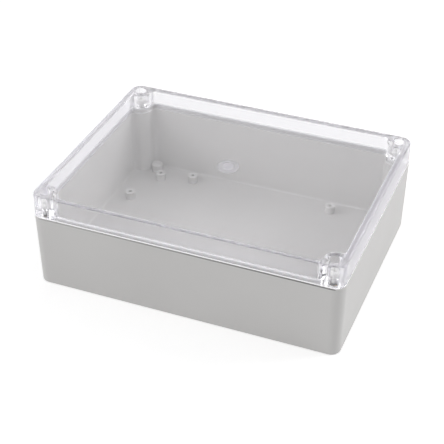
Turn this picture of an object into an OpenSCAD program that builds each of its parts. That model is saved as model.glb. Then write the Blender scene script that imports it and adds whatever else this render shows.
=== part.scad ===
/* [Enclosure] */
// Outside length at the joint between base and lid
box_l = 250; // [220:1:400]
// Outside width at the joint
box_w = 190; // [180:1:300]
// Height of the base, from the underside to the joint
base_h = 62; // [40:1:120]
// Height of the lid above the joint
lid_h = 20; // [18:0.5:60]
// Radius of the upright outer corners
corner_r = 9; // [7:0.5:10]

/* [Walls] */
// Wall thickness of base and lid at the joint
wall = 5; // [4.8:0.1:6]
// Thickness of the base floor
floor_t = 3.5; // [2.5:0.1:5]
// Thickness of the clear top plate
plate_t = 3; // [2:0.1:4.5]
// How much each base side leans in towards the underside
base_draft = 1.2; // [0.4:0.1:2]
// How much each lid side leans in towards the top
lid_draft = 0.3; // [0.1:0.1:0.8]
// Radius of the lid's top outer edge
top_edge_r = 2; // [0.5:0.1:2.5]
// Radius of the base's bottom outer edge
bottom_edge_r = 1; // [0.5:0.1:2]
// Radius of the base's outer edge at the joint
rim_edge_r = 0.6; // [0.2:0.1:0.8]
// Chamfer of the lid's outer edge at the joint
foot_chamfer = 0.5; // [0.2:0.1:0.8]
// Radius between the base floor and its walls
floor_root_r = 2; // [1:0.1:4]
// Radius between the top plate and the lid walls
plate_root_r = 1; // [0.5:0.1:3]

/* [Corner towers] */
// Distance of each lid screw from the two nearest outer faces
screw_inset = 10; // [9.5:0.1:11]
// Radius of the tower round each screw
tower_r = 9; // [8.5:0.1:10]
// Radius where a tower runs into the walls
tower_root_r = 4; // [3:0.1:4.5]
// Diameter of the screw pocket, open at the top
pocket_d = 9.5; // [9:0.1:11]
// Chamfer round the mouth of the pocket
pocket_chamfer = 0.5; // [0.2:0.1:1]
// Height of the pocket floor above the joint
pocket_floor_h = 8; // [7.5:0.1:10]
// Height of the recess under the pocket, where the retaining ring moves
ring_recess_h = 5.8; // [5:0.1:6.2]
// Diameter of that recess
ring_recess_d = 6.6; // [6.2:0.1:7]

/* [Seal] */
// Thickness of the lid's lip on the inner side of the seal groove
inner_lip_t = 1.4; // [1:0.1:1.6]
// Width of the seal groove
groove_w = 2; // [1.6:0.1:2.2]
// Height of the tongue on the base
tongue_h = 2.6; // [1.5:0.1:3.2]
// Thickness of the seal on top of the tongue
seal_t = 2; // [1:0.1:2.4]
// Gap between the rims of base and lid, held open by the seal
joint_gap = 0.3; // [0.1:0.05:0.6]
// Clearance on each side of the tongue in the groove
tongue_clear = 0.3; // [0.2:0.05:0.4]
// Clearance on each side of the seal in the groove
seal_clear = 0.1; // [0.05:0.05:0.2]
// Clearance of the seal below the top of the groove
seal_top_clear = 0.05; // [0.02:0.01:0.1]

/* [Lid screws] */
// Diameter of the screw thread
thread_d = 4; // [3.5:0.1:4.2]
// Pitch of the thread
thread_pitch = 0.7; // [0.5:0.1:0.8]
// Depth of the thread
thread_depth = 0.4; // [0.2:0.05:0.45]
// Diameter of the plain neck between head and thread
neck_d = 3; // [2.6:0.1:3.2]
// Diameter of the screw head
head_d = 7.8; // [7:0.1:8.4]
// Height of the screw head
head_h = 3; // [2.2:0.1:3.4]
// Rounding of the head's upper edge
head_edge_r = 1; // [0.4:0.1:1.4]
// Length of each arm of the cross recess, tip to tip
cross_l = 4.4; // [3:0.1:5]
// Width of each arm of the cross recess
cross_w = 1.1; // [0.8:0.1:1.4]
// Depth of the cross recess
cross_depth = 1.6; // [1:0.1:2]
// Clearance of the neck and thread in the hole through the pocket floor
hole_clear = 0.25; // [0.15:0.05:0.4]
// Diameter of the round section of the retaining ring
ring_section = 1.1; // [0.9:0.05:1.3]
// Height of the ring's underside above the joint
ring_rest_h = 0.3; // [0.1:0.1:0.6]
// Clearance of the retaining ring on the neck
ring_clear = 0.05; // [0.02:0.01:0.1]
// Clearance left above the ring when the screw is drawn right up
stop_clear = 0.1; // [0.05:0.05:0.3]

/* [Threaded inserts] */
// Outside diameter of a brass insert
insert_d = 5.6; // [5.4:0.1:6]
// Length of a brass insert
insert_l = 8; // [6:0.5:12]
// How far the insert's top lies below the joint
insert_sink = 0.2; // [0.1:0.1:0.6]
// Clearance of the thread in the insert
insert_clear = 0.1; // [0.05:0.05:0.2]
// Depth and width of the two grooves that hold the insert in the plastic
insert_groove = 0.35; // [0.2:0.05:0.5]
// Free depth of the hole below the insert
insert_well = 4; // [2:0.5:10]
// Clearance of the insert in its hole
insert_fit = 0.03; // [0.02:0.01:0.05]

/* [Floor bosses] */
// Spacing of the four main bosses along the box
boss_x = 127; // [80:0.5:140]
// Spacing of the four main bosses across the box
boss_y = 152.4; // [100:0.1:153]
// Diameter of a boss
boss_d = 8.5; // [7:0.1:11]
// Height of the boss tops above the floor
boss_h = 6.5; // [5:0.1:12]
// Diameter of the pilot hole in a boss
pilot_d = 3.3; // [2:0.1:4]
// Depth of the pilot hole
pilot_depth = 7; // [4:0.1:8]
// Distance of the side boss from the nearest short side
side_boss_inset = 21; // [15:0.5:30]
// Distance of the side boss from the middle, across the box
side_boss_y = 33; // [20:0.5:50]
// Distance of the corner boss from the nearest short side
corner_boss_inset_x = 33.5; // [31:0.5:40]
// Distance of the corner boss from the nearest long side
corner_boss_inset_y = 25.5; // [23:0.5:35]

/* [Wall fixings] */
// Distance of a fixing hole and its closed pillar from the nearest short side
fixing_inset_x = 24.5; // [23:0.5:28]
// Distance of a fixing hole and its closed pillar from the nearest long side
fixing_inset_y = 13; // [12.5:0.5:14]
// Diameter of a closed pillar
pillar_d = 10; // [8:0.1:10.4]
// Diameter of a fixing hole in the underside
fixing_d = 4.2; // [3:0.1:5]
// Depth of a fixing hole
fixing_depth = 7.5; // [5:0.1:8]

/* [Gate mark] */
// Diameter of the round pad under the middle of the top plate
gate_pad_d = 18; // [10:0.5:30]
// Thickness of the pad
gate_pad_t = 0.4; // [0.2:0.1:1]
// Diameter of the gate button on the pad
gate_button_d = 9.5; // [5:0.5:12]
// Thickness of the button
gate_button_t = 0.6; // [0.2:0.1:1.5]

/* [Hidden] */
$fn = 64;
eps = 0.01;
over = 1;
screw_x = box_l / 2 - screw_inset;
screw_y = box_w / 2 - screw_inset;
lid_top = base_h + lid_h;
lid_foot_z = base_h + joint_gap;
groove_top_z = base_h + tongue_h + seal_t + seal_top_clear;
groove_in = inner_lip_t;
groove_out = inner_lip_t + groove_w;
pocket_floor_z = base_h + pocket_floor_h;
insert_top_z = base_h - insert_sink;
boss_top_z = floor_t + boss_h;
// Rise of a screw, and the thread that it draws out of the insert
screw_travel = ring_recess_h - ring_rest_h - ring_section - stop_clear;
thread_l = screw_travel;
// Centre of the arc that leads a wall into a tower, from the screw axis.
// It bites a little into both, so that the outlines cross and don't just touch.
root_bite = 0.01;
root_off = screw_inset - wall - tower_root_r + root_bite;
root_run = sqrt(pow(tower_r + tower_root_r - root_bite, 2) - pow(root_off, 2));

CORNERS = [
    ["front_left", -1, -1],
    ["front_right", 1, -1],
    ["rear_left", -1, 1],
    ["rear_right", 1, 1],
];

base_colour = [0.75, 0.74, 0.73];
clear_colour = [0.92, 0.92, 0.95, 0.35];
seal_colour = [0.86, 0.86, 0.86];
brass_colour = [0.78, 0.63, 0.32];
nylon_colour = [0.93, 0.93, 0.92];
rubber_colour = [0.12, 0.12, 0.12];

// Four copies, one in each quarter, mirrored about both middle planes
module four_ways() {
    for (sx = [0, 1], sy = [0, 1])
        mirror([sx, 0, 0])
            mirror([0, sy, 0])
                children();
}

// Solid with upright rounded corners whose sides follow a half profile.
// The profile is drawn from the axis outwards to x = 0 at the outer face.
module rounded_solid(l, w, r) {
    rotate([90, 0, 90])
        translate([0, 0, r - l / 2])
            linear_extrude(l - 2 * r)
                both_sides(w / 2)
                    children();
    rotate([90, 0, 0])
        translate([0, 0, r - w / 2])
            linear_extrude(w - 2 * r)
                both_sides(l / 2)
                    children();
    four_ways()
        translate([l / 2 - r, w / 2 - r, 0])
            rotate_extrude(angle = 90)
                intersection() {
                    translate([r, 0])
                        children();
                    translate([0, -over])
                        square([r + over, base_h + lid_h + 2 * over]);
                }
}

// The half profile and its mirror image, reach to the outer face
module both_sides(reach) {
    for (side = [0, 1])
        mirror([side, 0])
            intersection() {
                translate([reach, 0])
                    children();
                translate([0, -over])
                    square([reach + over, base_h + lid_h + 2 * over]);
            }
}

// Half profile of the base, outer face at x = 0 just under its rounded rim
module base_profile() {
    reach = max(box_l, box_w);
    lean = base_draft * (1 - bottom_edge_r / base_h);
    polygon([
        [-reach, 0],
        [-lean - bottom_edge_r, 0],
        [-lean - bottom_edge_r, bottom_edge_r],
        [-lean, bottom_edge_r],
        [0, base_h - rim_edge_r],
        [-rim_edge_r, base_h - rim_edge_r],
        [-rim_edge_r, base_h],
        [-reach, base_h],
    ]);
    translate([-lean - bottom_edge_r, bottom_edge_r])
        circle(bottom_edge_r);
    translate([-rim_edge_r, base_h - rim_edge_r])
        circle(rim_edge_r);
}

// Half profile of the lid, outer face at x = 0 just over its chamfered foot
module lid_profile() {
    reach = max(box_l, box_w);
    lean = lid_draft * (1 - top_edge_r / lid_h);
    polygon([
        [-reach, lid_foot_z],
        [-foot_chamfer, lid_foot_z],
        [0, lid_foot_z + foot_chamfer],
        [-lean, lid_top - top_edge_r],
        [-lean - top_edge_r, lid_top - top_edge_r],
        [-lean - top_edge_r, lid_top],
        [-reach, lid_top],
    ]);
    translate([-lean - top_edge_r, lid_top - top_edge_r])
        circle(top_edge_r);
}

// What a corner tower takes from the inside outline, grown outwards by out.
// Drawn about the screw axis, with the outer corner towards +X +Y.
module tower_outline(out) {
    far = screw_inset + over;
    difference() {
        union() {
            polygon([
                [-root_run, root_off],
                [-root_run, far],
                [far, far],
                [far, -root_run],
                [root_off, -root_run],
                [0, 0],
            ]);
            circle(tower_r - out);
        }
        translate([-root_run, root_off])
            circle(tower_root_r + out);
        translate([root_off, -root_run])
            circle(tower_root_r + out);
    }
}

// Outline of the inside, moved out into the wall by out
module inside_outline(out = 0) {
    difference() {
        square([box_l - 2 * wall + 2 * out, box_w - 2 * wall + 2 * out], center = true);
        four_ways()
            translate([screw_x, screw_y])
                tower_outline(out);
    }
}

// Closed band that follows the inside outline, between two distances into the wall
module seal_band(near, far, h) {
    linear_extrude(h)
        difference() {
            inside_outline(far);
            inside_outline(near);
        }
}

// Concave fillets along the four straight walls, at height 0, rising
module root_fillets(r) {
    run_x = 2 * (screw_x - root_run);
    run_y = 2 * (screw_y - root_run);
    for (end = [0, 180]) {
        rotate(end)
            translate([0, box_w / 2 - wall, 0])
                fillet_bar(run_x, r);
        rotate(end + 90)
            translate([0, box_l / 2 - wall, 0])
                fillet_bar(run_y, r);
    }
}

// One concave fillet against a wall face at y = 0
module fillet_bar(run, r) {
    difference() {
        translate([-run / 2, -r, -r / 2])
            cube([run, r * 1.5, r * 1.5]);
        translate([-run / 2 - over, -r, r])
            rotate([0, 90, 0])
                cylinder(r = r, h = run + 2 * over);
    }
}

// Cylinder that stands on the floor, down to a little inside it
module floor_post(d) {
    translate([0, 0, floor_t / 2])
        cylinder(d = d, h = boss_top_z - floor_t / 2);
}

// Places of the bosses that are seen on one side and turned round for the other
module turned_pairs() {
    for (turn = [0, 180])
        rotate(turn) {
            translate([side_boss_inset - box_l / 2, side_boss_y, 0])
                children();
            translate([corner_boss_inset_x - box_l / 2, box_w / 2 - corner_boss_inset_y, 0])
                children();
        }
}

module main_bosses() {
    four_ways()
        translate([boss_x / 2, boss_y / 2, 0])
            children();
}

module fixing_pillars() {
    four_ways()
        translate([box_l / 2 - fixing_inset_x, box_w / 2 - fixing_inset_y, 0])
            children();
}

module at_screws() {
    four_ways()
        translate([screw_x, screw_y, 0])
            children();
}

module pilot_hole() {
    translate([0, 0, boss_top_z - pilot_depth])
        cylinder(d = pilot_d, h = pilot_depth + over);
}

module base() {
    color(base_colour)
        difference() {
            union() {
                difference() {
                    rounded_solid(box_l, box_w, corner_r)
                        base_profile();
                    translate([0, 0, floor_t])
                        linear_extrude(base_h)
                            inside_outline();
                }
                translate([0, 0, floor_t])
                    root_fillets(floor_root_r);
                translate([0, 0, base_h - over])
                    seal_band(groove_in + tongue_clear, groove_out - tongue_clear, tongue_h + over);
                main_bosses()
                    floor_post(boss_d);
                turned_pairs()
                    floor_post(boss_d);
                fixing_pillars()
                    floor_post(pillar_d);
            }
            main_bosses()
                pilot_hole();
            turned_pairs()
                pilot_hole();
            fixing_pillars()
                translate([0, 0, -over])
                    cylinder(d = fixing_d, h = fixing_depth + over);
            at_screws()
                translate([0, 0, insert_top_z - insert_l - insert_well])
                    cylinder(d = insert_d + 2 * insert_fit, h = insert_l + insert_well + over);
        }
}

module lid() {
    hole_d = thread_d + 2 * hole_clear;
    color(clear_colour)
        difference() {
            union() {
                difference() {
                    rounded_solid(box_l, box_w, corner_r)
                        lid_profile();
                    translate([0, 0, base_h - over])
                        linear_extrude(lid_h - plate_t + over)
                            inside_outline();
                    translate([0, 0, base_h - over])
                        seal_band(groove_in, groove_out, groove_top_z - base_h + over);
                }
                translate([0, 0, lid_top - plate_t])
                    mirror([0, 0, 1])
                        root_fillets(plate_root_r);
                gate_mark();
            }
            at_screws() {
                translate([0, 0, pocket_floor_z])
                    cylinder(d = pocket_d, h = lid_h);
                translate([0, 0, lid_top - pocket_chamfer])
                    cylinder(d1 = pocket_d, d2 = pocket_d + 4 * pocket_chamfer, h = 2 * pocket_chamfer);
                translate([0, 0, base_h - over])
                    cylinder(d = hole_d, h = lid_h);
                translate([0, 0, base_h - over])
                    cylinder(d = ring_recess_d, h = ring_recess_h + over);
            }
        }
}

// Round pad and button left by the gate, under the middle of the plate
module gate_mark() {
    plate_z = lid_top - plate_t;
    translate([0, 0, plate_z - gate_pad_t])
        cylinder(d = gate_pad_d, h = gate_pad_t + plate_t / 2);
    translate([0, 0, plate_z - gate_pad_t - gate_button_t])
        cylinder(d = gate_button_d, h = gate_button_t + plate_t / 2);
}

module gasket() {
    color(seal_colour)
        translate([0, 0, base_h + tongue_h])
            seal_band(groove_in + seal_clear, groove_out - seal_clear, seal_t);
}

// One brass insert, its top at height 0
module insert() {
    bore_r = thread_d / 2 + insert_clear;
    out_r = insert_d / 2;
    in_r = out_r - insert_groove;
    third = insert_l / 3;
    color(brass_colour)
        rotate_extrude()
            polygon([
                [bore_r, 0],
                [out_r, 0],
                [out_r, -third + insert_groove],
                [in_r, -third],
                [out_r, -third - insert_groove],
                [out_r, -2 * third + insert_groove],
                [in_r, -2 * third],
                [out_r, -2 * third - insert_groove],
                [out_r, -insert_l],
                [bore_r, -insert_l],
            ]);
}

// Half profile of the screw below its head, thread crests as rings
module shank_profile() {
    crest = thread_d / 2;
    root = crest - thread_depth;
    turns = floor(thread_l / thread_pitch);
    tip = -pocket_floor_h - thread_l;
    rings = [
        for (i = [0 : turns - 1])
            let (z = -pocket_floor_h - i * thread_pitch)
                each [[root, z], [crest, z - thread_pitch / 2]]
    ];
    polygon(concat(
        [[0, eps], [neck_d / 2, eps], [neck_d / 2, -pocket_floor_h]],
        rings,
        [[root, tip], [0, tip]]
    ));
}

// One captive lid screw, the underside of its head at height 0
module screw() {
    color(nylon_colour)
        difference() {
            union() {
                rotate_extrude()
                    shank_profile();
                rotate_extrude() {
                    square([head_d / 2 - head_edge_r, head_h]);
                    square([head_d / 2, head_h - head_edge_r]);
                    intersection() {
                        translate([head_d / 2 - head_edge_r, head_h - head_edge_r])
                            circle(head_edge_r);
                        square([head_d, head_h]);
                    }
                }
            }
            for (turn = [0, 90])
                rotate(turn)
                    translate([-cross_l / 2, -cross_w / 2, head_h - cross_depth])
                        cube([cross_l, cross_w, cross_depth + over]);
        }
}

// One rubber ring that keeps a screw in the lid, its underside at height 0
module retaining_ring() {
    color(rubber_colour)
        rotate_extrude()
            translate([neck_d / 2 + ring_clear + ring_section / 2, ring_section / 2])
                circle(ring_section / 2);
}

base();
lid();
gasket();
for (c = CORNERS)
    translate([c[1] * screw_x, c[2] * screw_y, 0]) {
        translate([0, 0, insert_top_z])
                insert();
        translate([0, 0, pocket_floor_z])
                screw();
        translate([0, 0, base_h + ring_rest_h])
                retaining_ring();
    }
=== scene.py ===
import math

import bmesh
import bpy
from bpy.props import FloatProperty, FloatVectorProperty, IntProperty, PointerProperty
from bpy.types import Operator, Panel, PropertyGroup
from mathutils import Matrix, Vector


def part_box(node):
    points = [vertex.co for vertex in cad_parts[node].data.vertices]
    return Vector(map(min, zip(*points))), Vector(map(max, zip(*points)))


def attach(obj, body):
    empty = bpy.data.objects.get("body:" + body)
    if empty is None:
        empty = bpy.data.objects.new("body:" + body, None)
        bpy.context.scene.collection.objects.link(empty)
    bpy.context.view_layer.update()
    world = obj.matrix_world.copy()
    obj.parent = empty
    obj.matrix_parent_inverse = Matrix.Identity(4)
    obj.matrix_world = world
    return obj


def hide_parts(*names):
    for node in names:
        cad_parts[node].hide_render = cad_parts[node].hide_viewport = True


bl_info = {
    "name": "Clear Lid Enclosure",
    "version": (1, 0, 0),
    "blender": (4, 5, 0),
    "location": "View3D > Sidebar > Enclosure",
    "description": "Dresses a sealed polycarbonate enclosure with a clear lift-off lid",
    "category": "Object",
}

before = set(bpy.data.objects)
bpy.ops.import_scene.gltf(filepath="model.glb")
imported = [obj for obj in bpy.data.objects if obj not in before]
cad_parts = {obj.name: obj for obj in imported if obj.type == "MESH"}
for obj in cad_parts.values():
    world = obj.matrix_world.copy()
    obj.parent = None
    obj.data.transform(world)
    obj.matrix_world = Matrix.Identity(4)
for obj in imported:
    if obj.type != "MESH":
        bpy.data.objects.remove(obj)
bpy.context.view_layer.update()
CORNERS = [name[len("screw_"):] for name in sorted(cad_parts) if name.startswith("screw_")]


# Node building


class Socket:
    """An output socket that can stand in a sum, a product or a difference."""

    def __init__(self, graph, link):
        self.graph, self.link = graph, link

    def math(self, operation, other=None, turned=False):
        pair = [self] if other is None else [other, self] if turned else [self, other]
        return self.graph.node("ShaderNodeMath", {"operation": operation}, dict(enumerate(pair)))

    def __add__(self, other):
        return self.math("ADD", other)

    def __radd__(self, other):
        return self.math("ADD", other, True)

    def __sub__(self, other):
        return self.math("SUBTRACT", other)

    def __rsub__(self, other):
        return self.math("SUBTRACT", other, True)

    def __mul__(self, other):
        return self.math("MULTIPLY", other)

    def __rmul__(self, other):
        return self.math("MULTIPLY", other, True)

    def __truediv__(self, other):
        return self.math("DIVIDE", other)

    def __abs__(self):
        return self.math("ABSOLUTE")

    def __gt__(self, other):
        return self.math("GREATER_THAN", other)

    def max(self, other):
        return self.math("MAXIMUM", other)

    def min(self, other):
        return self.math("MINIMUM", other)

    def clamp(self):
        return self.graph.node("ShaderNodeClamp", {}, {"Value": self})

    def step(self, low, high):
        """0 below low and 1 above high, with a smooth rise between them."""
        return self.graph.node("ShaderNodeMapRange", {"interpolation_type": "SMOOTHSTEP"}, {
            "Value": self, "From Min": low, "From Max": high})


class Graph:
    """A node tree with one way to add nodes."""

    def __init__(self, tree):
        self.tree = tree
        self.tree.nodes.clear()

    def node(self, kind, settings=None, inputs=None, output=0):
        made = self.tree.nodes.new(kind)
        for key, value in (settings or {}).items():
            if key == "stops":
                ramp = made.color_ramp
                for i, (place, shade) in enumerate(value):
                    stop = ramp.elements[i] if i < 2 else ramp.elements.new(place)
                    stop.position = place
                    stop.color = (shade, shade, shade, 1)
            else:
                setattr(made, key, value)
        for key, value in (inputs or {}).items():
            for one in value if isinstance(value, list) else [value]:
                if isinstance(one, Socket):
                    self.tree.links.new(one.link, made.inputs[key])
                else:
                    made.inputs[key].default_value = one
        made_output = made.outputs[output] if isinstance(output, (int, str)) else None
        return Socket(self, made_output) if made_output else [Socket(self, one) for one in made.outputs]

    def split(self, vector):
        return self.node("ShaderNodeSeparateXYZ", {}, {0: vector}, output=None)

    def joined(self, x, y, z):
        return self.node("ShaderNodeCombineXYZ", {}, {0: x, 1: y, 2: z})


class Finish(Graph):
    """One node material, or the world."""

    def __init__(self, name, world=None):
        self.block = world or bpy.data.materials.new(name)
        self.block.use_nodes = True
        super().__init__(self.block.node_tree)

    def place(self):
        return self.node("ShaderNodeTexCoord", output="Object")

    def noise(self, scale, detail=2.0, roughness=0.5):
        return self.node("ShaderNodeTexNoise", {}, {
            "Vector": self.place(), "Scale": scale, "Detail": detail, "Roughness": roughness})

    def ramp(self, value, *stops):
        return self.node("ShaderNodeValToRGB", {"stops": stops}, {0: value})

    def blend(self, share, first, second):
        return self.node("ShaderNodeMix", {"data_type": "RGBA"}, {0: share, 6: first, 7: second}, output=2)

    def bump(self, height, distance, strength=1.0):
        return self.node("ShaderNodeBump", {}, {"Height": height, "Distance": distance, "Strength": strength})

    def surface(self, shader):
        world = isinstance(self.block, bpy.types.World)
        end = self.tree.nodes.new("ShaderNodeOutputWorld" if world else "ShaderNodeOutputMaterial")
        self.tree.links.new(shader.link, end.inputs["Surface"])
        return self.block


class Maker(Graph):
    """A Geometry Nodes group that puts one finished thing on each point it is given."""

    def __init__(self, name, values):
        super().__init__(bpy.data.node_groups.new(name, "GeometryNodeTree"))
        self.values = values
        face = self.tree.interface
        face.new_socket("Geometry", in_out="INPUT", socket_type="NodeSocketGeometry")
        for key, value in values.items():
            whole = isinstance(value, int)
            face.new_socket(key, in_out="INPUT", socket_type="NodeSocketInt" if whole else "NodeSocketFloat")
        face.new_socket("Material", in_out="INPUT", socket_type="NodeSocketMaterial")
        face.new_socket("Geometry", in_out="OUTPUT", socket_type="NodeSocketGeometry")
        self.given = self.tree.nodes.new("NodeGroupInput")

    def __getitem__(self, key):
        return Socket(self, self.given.outputs[key])

    def turned(self, columns, rows, shape):
        """A closed skin round the upright axis; shape gives radius and height at (u, v)."""
        grid = self.node("GeometryNodeMeshGrid", {}, {
            "Size X": 1.0, "Size Y": 1.0, "Vertices X": columns, "Vertices Y": rows})
        x, y, _ = self.split(self.node("GeometryNodeInputPosition"))
        u, v = x + 0.5, y + 0.5
        radius, height = shape(u, v)
        angle = u * math.tau
        skin = self.node("GeometryNodeSetPosition", {}, {
            "Geometry": grid,
            "Position": self.joined(radius * angle.math("COSINE"), radius * angle.math("SINE"), height)})
        return self.node("GeometryNodeMergeByDistance", {}, {"Geometry": skin, "Distance": 0.000001})

    def finish(self, *parts):
        """Puts the joined parts on every point, makes them real and gives them their material."""
        whole = self.node("GeometryNodeJoinGeometry", {}, {"Geometry": list(parts)})
        stood = self.node("GeometryNodeInstanceOnPoints", {}, {"Points": self["Geometry"], "Instance": whole})
        real = self.node("GeometryNodeRealizeInstances", {}, {"Geometry": stood})
        done = self.node("GeometryNodeSetMaterial", {}, {"Geometry": real, "Material": self["Material"]})
        end = self.tree.nodes.new("NodeGroupOutput")
        self.tree.links.new(done.link, end.inputs[0])
        return self

    def make(self, name, places, material, crease=35):
        """One plain mesh object with a copy at each place."""
        points = bpy.data.meshes.new(name + "_points")
        points.from_pydata([tuple(place) for place in places], [], [])
        holder = bpy.data.objects.new(name + "_points", points)
        bpy.context.collection.objects.link(holder)
        modifier = holder.modifiers.new("Maker", "NODES")
        modifier.node_group = self.tree
        inputs = [item for item in self.tree.interface.items_tree if item.in_out == "INPUT"]
        keys = {item.name: item.identifier for item in inputs}
        for key, value in self.values.items():
            modifier[keys[key]] = value
        modifier[keys["Material"]] = material
        bpy.context.view_layer.update()
        seen = holder.evaluated_get(bpy.context.evaluated_depsgraph_get())
        mesh = bpy.data.meshes.new_from_object(seen)
        bpy.data.objects.remove(holder)
        if not mesh.polygons:
            raise RuntimeError(name + " came out empty")
        mesh.name = name
        mesh.polygons.foreach_set("use_smooth", [True] * len(mesh.polygons))
        mesh.set_sharp_from_angle(angle=math.radians(crease))
        piece = bpy.data.objects.new(name, mesh)
        bpy.context.collection.objects.link(piece)
        return piece


def rgba(colour, by=1.0):
    return (colour[0] * by, colour[1] * by, colour[2] * by, 1.0)


def grey_polycarbonate(look):
    """Opaque moulded polycarbonate with a fine satin grain, smoother on the boss tops, with a painted
    highlight that makes the boss tops paler and a painted shadow in the joint under the lid.
    """
    f = Finish("Grey polycarbonate")
    cloud = f.noise(9.0, 3.0)
    grain = f.noise(2600.0, 2.0)
    f.block.diffuse_color = rgba(look.base_grey)
    x, y, z = f.split(f.place())
    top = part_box("base")[1]
    # Painted highlight: the mask picks the flat boss tops, away from the walls and the screw columns, to be
    # painted paler
    edge_x, edge_y = top[0] - look.boss_inset_x, top[1] - look.boss_inset_y
    inside = 1 - (abs(x) - edge_x).max(abs(y) - edge_y).step(0.0, 0.0005)
    level = 1 - abs(z - look.boss_top).step(0.00015, 0.0003)
    tops = inside * level * (1 - near_screws(f, x, y, look.tower + 0.001))
    # Painted shadow: the gap between the lid and the base's rounded rim is painted dark, at full strength at
    # the right end of the long sides, weaker at the left end and on the short sides
    to_right = look.joint_left + (1 - look.joint_left) * (x / top[0]).step(-1.0, 1.0)
    long_side = (abs(y) - (top[1] - look.joint_edge)).step(-0.0001, 0.0001) * to_right
    short_side = (abs(x) - (top[0] - look.joint_edge)).step(-0.0001, 0.0001) * look.joint_short
    joint = long_side.max(short_side) * (z - (look.joint - look.joint_line)).step(-0.0001, 0.0001)
    shades = rgba(look.base_grey, 0.975), rgba(look.base_grey, 1.02)
    colour = f.blend(f.ramp(cloud, (0.35, 0.0), (0.65, 1.0)), *shades)
    # The painted highlight makes the boss tops paler here
    highlighted = f.blend(tops * look.boss_top_highlight, colour, (0.9, 0.9, 0.89, 1))
    return f.surface(f.node("ShaderNodeBsdfPrincipled", {}, {
        # The painted shadow in the joint darkens the colour here
        "Base Color": f.blend(joint * look.joint_shadow, highlighted, (0.1, 0.1, 0.1, 1)),
        "Roughness": 0.44 + cloud * 0.08 - tops * 0.12,
        "IOR": 1.58,
        "Normal": f.bump(grain, look.grain_depth, 0.6)}))


def near_screws(f, x, y, reach):
    """1 within a reach of any lid screw's axis, 0 beyond it."""
    across, along, _ = centre(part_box("screw_" + CORNERS[0]))
    away_x, away_y = abs(x) - abs(across), abs(y) - abs(along)
    return 1 - (away_x * away_x + away_y * away_y).math("SQRT").step(reach - 0.0005, reach + 0.0005)


def clear_polycarbonate(look):
    """Clear polished polycarbonate that lets the lamps through, a little milky where it is thick."""
    f = Finish("Clear polycarbonate")
    wave = f.noise(14.0, 1.0)
    x, y, z = f.split(f.place())
    low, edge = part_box("lid")
    skin = (abs(x) - edge[0]).max(abs(y) - edge[1]).step(-0.0016, -look.foot_skin)
    gleam = skin * (1 - (z - low[2]).step(look.foot_edge - 0.0002, look.foot_edge)) * look.foot_gleam
    solid = f.node("ShaderNodeBsdfPrincipled", {}, {
        "Base Color": rgba(look.lid_tint),
        "Roughness": look.lid_roughness + gleam * look.foot_roughness,
        "Metallic": gleam,
        "IOR": 1.585,
        "Transmission Weight": 1.0,
        "Normal": f.bump(wave, look.flow_depth, 0.5)})
    ends = (abs(x) - (edge[0] - look.wall)).step(-0.0004, 0.0004)
    sides = (abs(y) - (edge[1] - look.wall)).step(-0.0004, 0.0004)
    tower = near_screws(f, x, y, look.tower)
    pad = 1 - (x * x + y * y).math("SQRT").step(look.gate_pad - 0.0006, look.gate_pad)
    button = 1 - (x * x + y * y).math("SQRT").step(look.gate_button - 0.0008, look.gate_button)
    haze = (look.plate_haze + sides * look.rim_haze).max(ends * look.end_haze).max(tower * look.tower_haze)
    haze = haze.max(pad * look.pad_haze).max(button * look.gate_haze) * (1 - gleam)
    milk = f.node("ShaderNodeBsdfDiffuse", {}, {"Color": rgba(look.haze_tint)})
    glow = f.node("ShaderNodeBsdfTranslucent", {}, {"Color": rgba(look.haze_tint)})
    milky = f.node("ShaderNodeMixShader", {}, {0: 0.5, 1: milk, 2: glow})
    body = f.node("ShaderNodeMixShader", {}, {0: haze, 1: solid, 2: milky})
    passing = f.node("ShaderNodeBsdfTransparent", {}, {"Color": rgba(look.lid_tint)})
    lamps = f.node("ShaderNodeLightPath", output="Is Shadow Ray")
    return f.surface(f.node("ShaderNodeMixShader", {}, {0: lamps, 1: body, 2: passing}))


def plain_finish(name, colour, roughness, metallic=0.0, scale=900.0, depth=0.00002, spread=0.04):
    """A small piece's finish with a fine grain and a little change of shade."""
    f = Finish(name)
    grain = f.noise(scale, 3.0)
    shade = f.blend(grain, rgba(colour, 1 - spread), rgba(colour, 1 + spread / 2))
    return f.surface(f.node("ShaderNodeBsdfPrincipled", {}, {
        "Base Color": shade,
        "Roughness": roughness + grain * 0.08,
        "Metallic": metallic,
        "Normal": f.bump(grain, depth, 0.6)}))


def centre(box):
    return [(low + high) / 2 for low, high in zip(*box)]


def coat(name, material):
    """Gives a carried-over node its material."""
    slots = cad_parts[name].material_slots
    if not slots:
        raise RuntimeError(name + " has no material slot")
    for slot in slots:
        slot.material = material


# Settings


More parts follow.
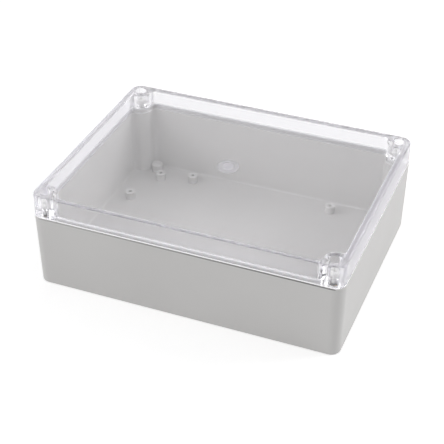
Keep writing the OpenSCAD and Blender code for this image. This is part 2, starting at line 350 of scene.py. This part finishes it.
class EnclosureLook(PropertyGroup):
    base_grey: FloatVectorProperty(
        name="Base grey", description="Colour of the opaque base", subtype="COLOR",
        default=(0.62, 0.612, 0.605), min=0, max=1)
    lid_tint: FloatVectorProperty(
        name="Lid tint", description="Faint tint of the clear lid", subtype="COLOR",
        default=(0.985, 0.983, 0.992), min=0, max=1)
    seal_grey: FloatVectorProperty(
        name="Seal grey", description="Colour of the foamed seal", subtype="COLOR",
        default=(0.84, 0.84, 0.84), min=0, max=1)
    brass: FloatVectorProperty(
        name="Brass", description="Colour of the threaded inserts", subtype="COLOR",
        default=(0.66, 0.45, 0.2), min=0, max=1)
    nylon: FloatVectorProperty(
        name="Nylon", description="Colour of the lid screws", subtype="COLOR",
        default=(0.8, 0.8, 0.78), min=0, max=1)
    rubber: FloatVectorProperty(
        name="Rubber", description="Colour of the retaining rings", subtype="COLOR",
        default=(0.015, 0.015, 0.015), min=0, max=1)
    haze_tint: FloatVectorProperty(
        name="Haze tint", description="Colour of the faint milkiness in the clear lid", subtype="COLOR",
        default=(0.86, 0.85, 0.9), min=0, max=1)
    plate_haze: FloatProperty(
        name="Plate haze", description="Milkiness of the flat plate", default=0.04, min=0, max=1)
    rim_haze: FloatProperty(
        name="Rim haze", description="Milkiness added along the lid's long walls", default=0.1, min=0, max=1)
    end_haze: FloatProperty(
        name="End haze", description="Milkiness of the lid's short walls, where the melt came in last",
        default=0.3, min=0, max=1)
    foot_gleam: FloatProperty(
        name="Foot gleam", description="How strongly the outer edge at the lid's foot mirrors the light",
        default=0.8, min=0, max=1)
    foot_skin: FloatProperty(
        name="Foot skin", description="Depth of that edge in from the outer face", subtype="DISTANCE",
        default=0.001, min=0, max=0.0015, precision=5)
    foot_roughness: FloatProperty(
        name="Foot roughness", description="Roughness added on that edge", default=0.25, min=0, max=1)
    lid_roughness: FloatProperty(
        name="Lid roughness", description="Roughness of the polished lid", default=0.015, min=0, max=1)
    foot_edge: FloatProperty(
        name="Foot edge", description="Height of that edge", subtype="DISTANCE",
        default=0.0016, min=0, precision=5)
    tower_haze: FloatProperty(
        name="Tower haze", description="Milkiness of the screw towers", default=0.08, min=0, max=1)
    gate_haze: FloatProperty(
        name="Gate haze", description="Milkiness of the gate mark in the middle of the plate",
        default=0.6, min=0, max=1)
    pad_haze: FloatProperty(
        name="Pad haze", description="Milkiness of the pad round the gate mark", default=0.27, min=0, max=1)
    wall: FloatProperty(
        name="Wall", description="Thickness of the lid's walls", subtype="DISTANCE", default=0.005, min=0.001)
    tower: FloatProperty(
        name="Tower radius", description="Radius of the tower round a lid screw", subtype="DISTANCE",
        default=0.009, min=0.005)
    gate_pad: FloatProperty(
        name="Gate pad", description="Radius of the pad round the gate mark", subtype="DISTANCE",
        default=0.009, min=0.001)
    gate_button: FloatProperty(
        name="Gate button", description="Radius of the gate mark's button", subtype="DISTANCE",
        default=0.00475, min=0.001)
    boss_top: FloatProperty(
        name="Boss tops", description="Height of the boss tops above the underside", subtype="DISTANCE",
        default=0.01, min=0)
    joint: FloatProperty(
        name="Joint", description="Height of the base's rim above the underside", subtype="DISTANCE",
        default=0.062, min=0)
    # The dark line along the rim is a painted shadow of the gap under the lid; these settings give its
    # height, strength, spread and reach
    joint_line: FloatProperty(
        name="Joint line", description="Height of the dark line along the base's rounded rim",
        subtype="DISTANCE",
        default=0.0006, min=0, precision=5)
    # Strength of the painted shadow in the joint
    joint_shadow: FloatProperty(
        name="Joint shadow", description="How dark that line is at the right end of the long sides",
        default=0.85, min=0, max=1)
    joint_left: FloatProperty(
        name="Joint left", description="Share of that darkness at the left end", default=0.4, min=0, max=1)
    joint_short: FloatProperty(
        name="Joint short", description="Share of that darkness on the short sides",
        default=0.15, min=0, max=1)
    joint_edge: FloatProperty(
        name="Joint edge", description="How far the line reaches in from the outer face", subtype="DISTANCE",
        default=0.0006, min=0, precision=5)
    boss_inset_x: FloatProperty(
        name="Boss inset along", description="Distance from the short sides kept out of the boss tops",
        subtype="DISTANCE", default=0.011, min=0)
    boss_inset_y: FloatProperty(
        name="Boss inset across", description="Distance from the long sides kept out of the boss tops",
        subtype="DISTANCE", default=0.0135, min=0, precision=4)
    # Strength of the painted highlight on the boss tops
    boss_top_highlight: FloatProperty(
        name="Boss highlight", description="How much paler the smooth boss tops are", default=0.35, min=0, max=1)
    grain_depth: FloatProperty(
        name="Grain depth", description="Depth of the satin grain on the base", subtype="DISTANCE",
        default=0.00002, min=0, max=0.0002, precision=6)
    flow_depth: FloatProperty(
        name="Flow depth", description="Depth of the waves that moulding leaves in the lid",
        subtype="DISTANCE",
        default=0.000008, min=0, max=0.0002, precision=6)


class EnclosureFittings(PropertyGroup):
    head_h: FloatProperty(
        name="Head height", description="Height of a screw head", subtype="DISTANCE",
        default=0.003, min=0.001)
    head_edge: FloatProperty(
        name="Head edge", description="Rounding of the head's upper edge", subtype="DISTANCE",
        default=0.001, min=0.0001)
    neck_r: FloatProperty(
        name="Neck radius", description="Radius of the plain neck", subtype="DISTANCE",
        default=0.0015, min=0.0005)
    neck_l: FloatProperty(
        name="Neck length", description="Length of the neck from head to thread", subtype="DISTANCE",
        default=0.008, min=0.001)
    thread_r: FloatProperty(
        name="Thread radius", description="Radius over the thread", subtype="DISTANCE",
        default=0.002, min=0.0005)
    thread_depth: FloatProperty(
        name="Thread depth", description="Depth of the thread", subtype="DISTANCE", default=0.0004, min=0)
    pitch: FloatProperty(
        name="Pitch", description="Pitch of the thread", subtype="DISTANCE", default=0.0007, min=0.0001)
    cross_l: FloatProperty(
        name="Cross length", description="Length of each arm of the cross recess", subtype="DISTANCE",
        default=0.0044, min=0.001)
    cross_w: FloatProperty(
        name="Cross width", description="Width of each arm of the cross recess", subtype="DISTANCE",
        default=0.0011, min=0.0002)
    cross_depth: FloatProperty(
        name="Cross depth", description="Depth of the cross recess", subtype="DISTANCE",
        default=0.0016, min=0)
    ring_clear: FloatProperty(
        name="Ring clearance", description="Clearance of the retaining ring on the neck", subtype="DISTANCE",
        default=0.00005, min=0)
    insert_bore: FloatProperty(
        name="Insert bore", description="Radius over the valleys of an insert's thread", subtype="DISTANCE",
        default=0.00225, min=0.001)
    knurls: IntProperty(
        name="Knurls", description="Number of knurls round an insert", default=20, min=6, max=40)
    knurl_depth: FloatProperty(
        name="Knurl depth", description="Depth of the knurling", subtype="DISTANCE", default=0.00018, min=0)
    groove_depth: FloatProperty(
        name="Groove depth", description="Depth of the two grooves round an insert", subtype="DISTANCE",
        default=0.00035, min=0)
    bead_round: FloatProperty(
        name="Bead rounding", description="Rounding of the seal's edges", subtype="DISTANCE",
        default=0.0006, min=0)


class EnclosureStage(PropertyGroup):
    camera_place: FloatVectorProperty(
        name="Camera place", description="Where the camera stands", subtype="TRANSLATION",
        default=(0.287557, -0.730102, 0.579892))
    camera_target: FloatVectorProperty(
        name="Camera target", description="The point that the camera looks at", subtype="TRANSLATION",
        default=(-0.005071, 0.0, 0.026383))
    camera_lens: FloatProperty(
        name="Lens", description="Focal length of the camera in millimetres", default=95.81, min=20, max=300)
    ambient: FloatProperty(
        name="Ambient", description="Strength of the even light from all round", default=0.567, min=0, max=3)
    key_power: FloatProperty(
        name="Key power", description="Power of the large lamp at the rear right, in watts",
        default=13, min=0, max=500)
    fill_power: FloatProperty(
        name="Fill power", description="Power of the large lamp at the front left, in watts",
        default=9.2, min=0, max=500)
    lamp_size: FloatProperty(
        name="Lamp size", description="Width of the two square lamps", subtype="DISTANCE",
        default=0.9, min=0.01)
    key_place: FloatVectorProperty(
        name="Key place", description="Where the key lamp hangs", subtype="TRANSLATION",
        default=(1.46, 1.02, 0.91))
    fill_place: FloatVectorProperty(
        name="Fill place", description="Where the fill lamp hangs", subtype="TRANSLATION",
        default=(-1.42, -0.99, 1.0))
    light_bounces: IntProperty(
        name="Light bounces", description="How often light may pass or turn in the clear lid",
        default=32, min=4)
    floor_half: FloatProperty(
        name="Floor half width", description="Half the width of the floor", subtype="DISTANCE",
        default=3.0, min=1)
    floor_shade: FloatProperty(
        name="Floor shade", description="How pale the floor is", default=0.88, min=0, max=1)
    floor_glow: FloatProperty(
        name="Floor glow", description="How much brighter the floor is seen than it is lit",
        default=0.4, min=0, max=1)


# Pieces


class ENCLOSURE_OT_base(Operator):
    """Finish the opaque base"""

    bl_idname = "enclosure.base"
    bl_label = "Base"

    def execute(self, context):
        coat("base", grey_polycarbonate(context.scene.enclosure_look))
        return {"FINISHED"}


class ENCLOSURE_OT_lid(Operator):
    """Finish the clear lid"""

    bl_idname = "enclosure.lid"
    bl_label = "Lid"

    def execute(self, context):
        coat("lid", clear_polycarbonate(context.scene.enclosure_look))
        return {"FINISHED"}


class ENCLOSURE_OT_seal(Operator):
    """Make the foamed seal with a rounded bead"""

    bl_idname = "enclosure.seal"
    bl_label = "Seal"

    def execute(self, context):
        look, sizes = context.scene.enclosure_look, context.scene.enclosure_fittings
        foam = plain_finish("Foamed seal", look.seal_grey, 0.8, 0.0, 1500.0, 0.00006, 0.1)
        coat("gasket", foam)
        form = bmesh.new()
        form.from_mesh(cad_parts["gasket"].data)
        bmesh.ops.remove_doubles(form, verts=form.verts, dist=0.000001)
        rims = [edge for edge in form.edges if edge.is_manifold and edge.calc_face_angle() > math.radians(70)
                and abs(edge.verts[0].co.z - edge.verts[1].co.z) < 0.00001]
        if not rims:
            raise RuntimeError("the seal has no rims to round")
        bmesh.ops.bevel(form, geom=rims, offset=sizes.bead_round, segments=4, profile=0.5,
                        affect="EDGES", clamp_overlap=True)
        mesh = bpy.data.meshes.new("seal_bead")
        form.to_mesh(mesh)
        form.free()
        mesh.materials.clear()
        mesh.materials.append(foam)
        mesh.polygons.foreach_set("use_smooth", [True] * len(mesh.polygons))
        mesh.set_sharp_from_angle(angle=math.radians(40))
        bead = bpy.data.objects.new("seal_bead", mesh)
        context.collection.objects.link(bead)
        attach(bead, "lid")
        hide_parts("gasket")
        return {"FINISHED"}


def screw_maker(sizes, head_r, thread_l):
    g = Maker("Lid screw", {
        "Head radius": head_r, "Head height": sizes.head_h, "Head edge": sizes.head_edge,
        "Neck radius": sizes.neck_r, "Neck length": sizes.neck_l,
        "Thread radius": sizes.thread_r, "Thread length": thread_l,
        "Thread depth": sizes.thread_depth, "Pitch": sizes.pitch,
        "Cross length": sizes.cross_l, "Cross width": sizes.cross_w, "Cross depth": sizes.cross_depth})

    def capped(v, rows):
        """Height from 0 to 1 with both end rows drawn in to the axis, and 0 or 1 for that."""
        row = 1 / (rows - 1)
        return ((v - row) / (1 - 2 * row)).clamp(), (v.min(1 - v) > row / 2)

    def head(u, v):
        rise, skin = capped(v, 30)
        height = g["Head height"] * (rise * (math.pi / 2)).math("SINE")
        over = (height - (g["Head height"] - g["Head edge"])).max(0.0)
        edge = (g["Head edge"] * g["Head edge"] - over * over).max(0.0).math("SQRT")
        return (g["Head radius"] - g["Head edge"] + edge) * skin, height

    def thread(u, v):
        rise, skin = capped(v, 90)
        turns = g["Thread length"] / g["Pitch"]
        wave = abs((rise * turns - u).math("FRACT") * 2 - 1)
        fade = (rise.min(1 - rise) * turns * 1.4).clamp()
        depth = g["Thread depth"] * (1 - wave.step(0.1, 0.9) * fade)
        taper = (1 - rise * turns).clamp() * 0.15 * g["Thread radius"]
        return (g["Thread radius"] - depth - taper) * skin, (rise - 1) * g["Thread length"] - g["Neck length"]

    def neck(u, v):
        rise, skin = capped(v, 8)
        return g["Neck radius"] * skin, (rise * 1.04 - 1.02) * g["Neck length"]

    arms = []
    for turn in (0, math.pi / 2):
        arm = g.node("GeometryNodeMeshCube", {}, {
            "Size": g.joined(g["Cross length"], g["Cross width"], g["Cross depth"] * 2)})
        x, y, z = g.split(g.node("GeometryNodeInputPosition"))
        narrow = 1 - (z / g["Cross depth"] * -1).clamp() * 0.35
        tapered = g.joined(x * narrow, y * narrow, z)
        arm = g.node("GeometryNodeSetPosition", {}, {"Geometry": arm, "Position": tapered})
        arms.append(g.node("GeometryNodeTransform", {}, {
            "Geometry": arm, "Translation": g.joined(0.0, 0.0, g["Head height"]), "Rotation": (0, 0, turn)}))
    cut = g.node("GeometryNodeMeshBoolean", {"operation": "DIFFERENCE", "solver": "EXACT"}, {
        "Mesh 1": g.turned(64, 30, head), "Mesh 2": arms})
    return g.finish(cut, g.turned(48, 90, thread), g.turned(32, 8, neck))


def ring_maker(sizes, outer_r, height):
    g = Maker("Retaining ring", {
        "Outer radius": outer_r, "Inner radius": sizes.neck_r + sizes.ring_clear, "Height": height})

    def section(u, v):
        round_ = v * math.tau
        half = (g["Outer radius"] - g["Inner radius"]) * 0.5
        radius = g["Inner radius"] + half + half * round_.math("COSINE")
        return radius, g["Height"] * 0.5 * round_.math("SINE")

    return g.finish(g.turned(49, 25, section))


def insert_maker(sizes, outer_r, length):
    g = Maker("Threaded insert", {
        "Outer radius": outer_r, "Length": length, "Bore radius": sizes.insert_bore,
        "Thread depth": sizes.thread_depth * 0.6, "Pitch": sizes.pitch,
        "Knurls": sizes.knurls, "Knurl depth": sizes.knurl_depth, "Groove depth": sizes.groove_depth})

    def wall(u, v):
        down, up = (v / 0.6).clamp(), ((v - 0.62) / 0.34).clamp()
        outside, closing = v > 0.61, v > 0.98
        wave = abs((down * g["Length"] / g["Pitch"] - u).math("FRACT") * 2 - 1)
        inner = g["Bore radius"] - g["Thread depth"] * wave.step(0.1, 0.9)
        tooth = abs((u * g["Knurls"]).math("FRACT") * 2 - 1)
        groove = 1 - abs(abs(up - 0.5) - 1 / 6).step(0.02, 0.05)
        end = 1 - up.min(1 - up).step(0.0, 0.04)
        outer = g["Outer radius"] - (g["Knurl depth"] * tooth).max(g["Groove depth"] * groove).max(
            g["Groove depth"] * 0.6 * end)
        is_out = outside * (1 - closing)
        height = g["Length"] * (down * -1 * (1 - is_out) + (up - 1) * is_out) * (1 - closing)
        return inner * (1 - is_out) + outer * is_out, height

    return g.finish(g.turned(121, 140, wall))


class ENCLOSURE_OT_screws(Operator):
    """Make the lid screws and their retaining rings"""

    bl_idname = "enclosure.screws"
    bl_label = "Lid screws"

    def execute(self, context):
        look, sizes = context.scene.enclosure_look, context.scene.enclosure_fittings
        nylon = plain_finish("White nylon", look.nylon, 0.35)
        rubber = plain_finish("Black rubber", look.rubber, 0.55)
        low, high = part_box("screw_" + CORNERS[0])
        thread_l = high[2] - low[2] - sizes.head_h - sizes.neck_l
        screws = screw_maker(sizes, (high[0] - low[0]) / 2, thread_l)
        low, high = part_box("retaining_ring_" + CORNERS[0])
        rings = ring_maker(sizes, (high[0] - low[0]) / 2, high[2] - low[2])
        for corner in CORNERS:
            body = "screw_" + corner
            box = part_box(body)
            x, y, _ = centre(box)
            coat(body, nylon)
            screw = screws.make("lid_screw_" + corner, [(x, y, box[1][2] - sizes.head_h)], nylon)
            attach(screw, body)
            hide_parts(body)
            node = "retaining_ring_" + corner
            coat(node, rubber)
            ring = rings.make("ring_" + corner, [centre(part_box(node))], rubber)
            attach(ring, body)
            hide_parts(node)
        return {"FINISHED"}


class ENCLOSURE_OT_inserts(Operator):
    """Make the knurled brass inserts in the base's columns"""

    bl_idname = "enclosure.inserts"
    bl_label = "Threaded inserts"

    def execute(self, context):
        look, sizes = context.scene.enclosure_look, context.scene.enclosure_fittings
        brass = plain_finish("Turned brass", look.brass, 0.3, 1.0, 1200.0, 0.00001, 0.08)
        nodes = ["insert_" + corner for corner in CORNERS]
        for node in nodes:
            coat(node, brass)
        low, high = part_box(nodes[0])
        maker = insert_maker(sizes, (high[0] - low[0]) / 2, high[2] - low[2])
        places = [centre(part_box(node))[:2] + [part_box(node)[1][2]] for node in nodes]
        inserts = maker.make("threaded_inserts", places, brass)
        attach(inserts, "base")
        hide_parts(*nodes)
        return {"FINISHED"}


class ENCLOSURE_OT_stage(Operator):
    """Add the floor, the lamps, the surroundings and the camera"""

    bl_idname = "enclosure.stage"
    bl_label = "Stage"

    def execute(self, context):
        stage = context.scene.enclosure_stage
        add_floor(stage)
        add_surroundings(context.scene, stage)
        add_lamp("Key lamp", stage.key_power, stage.lamp_size, stage.key_place)
        add_lamp("Fill lamp", stage.fill_power, stage.lamp_size, stage.fill_place)
        add_camera(context.scene, stage)
        context.scene.view_settings.view_transform = "Standard"
        paths = context.scene.cycles
        paths.max_bounces = paths.transmission_bounces = paths.transparent_max_bounces = stage.light_bounces
        paths.glossy_bounces = stage.light_bounces
        return {"FINISHED"}


def seen_rays(f):
    """1 for rays that show a thing to the eye, straight, mirrored or through the lid."""
    path = f.tree.nodes.new("ShaderNodeLightPath")
    straight, mirrored, through = (
        Socket(f, path.outputs[name]) for name in ("Is Camera Ray", "Is Glossy Ray", "Is Transmission Ray"))
    return straight.max(mirrored).max(through)


def add_floor(stage):
    half, shade = stage.floor_half, stage.floor_shade
    mesh = bpy.data.meshes.new("Floor")
    corners = [(-half, -half, 0), (half, -half, 0), (half, half, 0), (-half, half, 0)]
    mesh.from_pydata(corners, [], [(0, 1, 2, 3)])
    floor = bpy.data.objects.new("Floor", mesh)
    bpy.context.collection.objects.link(floor)
    f = Finish("Pale floor")
    lit = f.node("ShaderNodeBsdfDiffuse", {}, {"Color": (shade, shade, shade, 1)})
    strength = seen_rays(f) * stage.floor_glow
    glow = f.node("ShaderNodeEmission", {}, {"Color": (1, 1, 1, 1), "Strength": strength})
    mesh.materials.append(f.surface(f.node("ShaderNodeAddShader", {}, {0: lit, 1: glow})))


def add_surroundings(scene, stage):
    world = bpy.data.worlds.new("Studio")
    scene.world = world
    f = Finish("Studio", world)
    even = f.node("ShaderNodeBackground", {}, {"Color": (1, 1, 1, 1), "Strength": stage.ambient})
    white = f.node("ShaderNodeBackground", {}, {"Color": (1, 1, 1, 1), "Strength": 1.0})
    f.surface(f.node("ShaderNodeMixShader", {}, {0: seen_rays(f), 1: even, 2: white}))


def add_lamp(name, power, size, place):
    lamp = bpy.data.lights.new(name, "AREA")
    lamp.energy, lamp.size = power, size
    holder = bpy.data.objects.new(name, lamp)
    holder.location = place
    holder.rotation_euler = (-Vector(place)).to_track_quat("-Z", "Y").to_euler()
    bpy.context.collection.objects.link(holder)


def add_camera(scene, stage):
    camera = bpy.data.cameras.new("Camera")
    camera.sensor_width = 36
    camera.lens = stage.camera_lens
    holder = bpy.data.objects.new("Camera", camera)
    place = Vector(stage.camera_place)
    holder.location = place
    holder.rotation_euler = (Vector(stage.camera_target) - place).to_track_quat("-Z", "Y").to_euler()
    bpy.context.collection.objects.link(holder)
    scene.camera = holder


# Sidebar and registration

STEPS = (ENCLOSURE_OT_base, ENCLOSURE_OT_lid, ENCLOSURE_OT_seal, ENCLOSURE_OT_screws, ENCLOSURE_OT_inserts,
         ENCLOSURE_OT_stage)
GROUPS = {
    "enclosure_look": EnclosureLook,
    "enclosure_fittings": EnclosureFittings,
    "enclosure_stage": EnclosureStage,
}


class ENCLOSURE_PT_panel(Panel):
    bl_label = "Enclosure"
    bl_idname = "ENCLOSURE_PT_panel"
    bl_space_type = "VIEW_3D"
    bl_region_type = "UI"
    bl_category = "Enclosure"

    def draw(self, context):
        layout = self.layout
        for step in STEPS:
            layout.operator(step.bl_idname)
        for key in GROUPS:
            group = getattr(context.scene, key)
            column = layout.column()
            for name in group.__annotations__:
                column.prop(group, name)


CLASSES = tuple(GROUPS.values()) + STEPS + (ENCLOSURE_PT_panel,)


def register():
    for cls in CLASSES:
        bpy.utils.register_class(cls)
    for key, group in GROUPS.items():
        setattr(bpy.types.Scene, key, PointerProperty(type=group))


def unregister():
    for key in GROUPS:
        delattr(bpy.types.Scene, key)
    for cls in reversed(CLASSES):
        bpy.utils.unregister_class(cls)


def main():
    register()
    for step in STEPS:
        group, name = step.bl_idname.split(".")
        getattr(getattr(bpy.ops, group), name)()


if __name__ == "__main__":
    main()
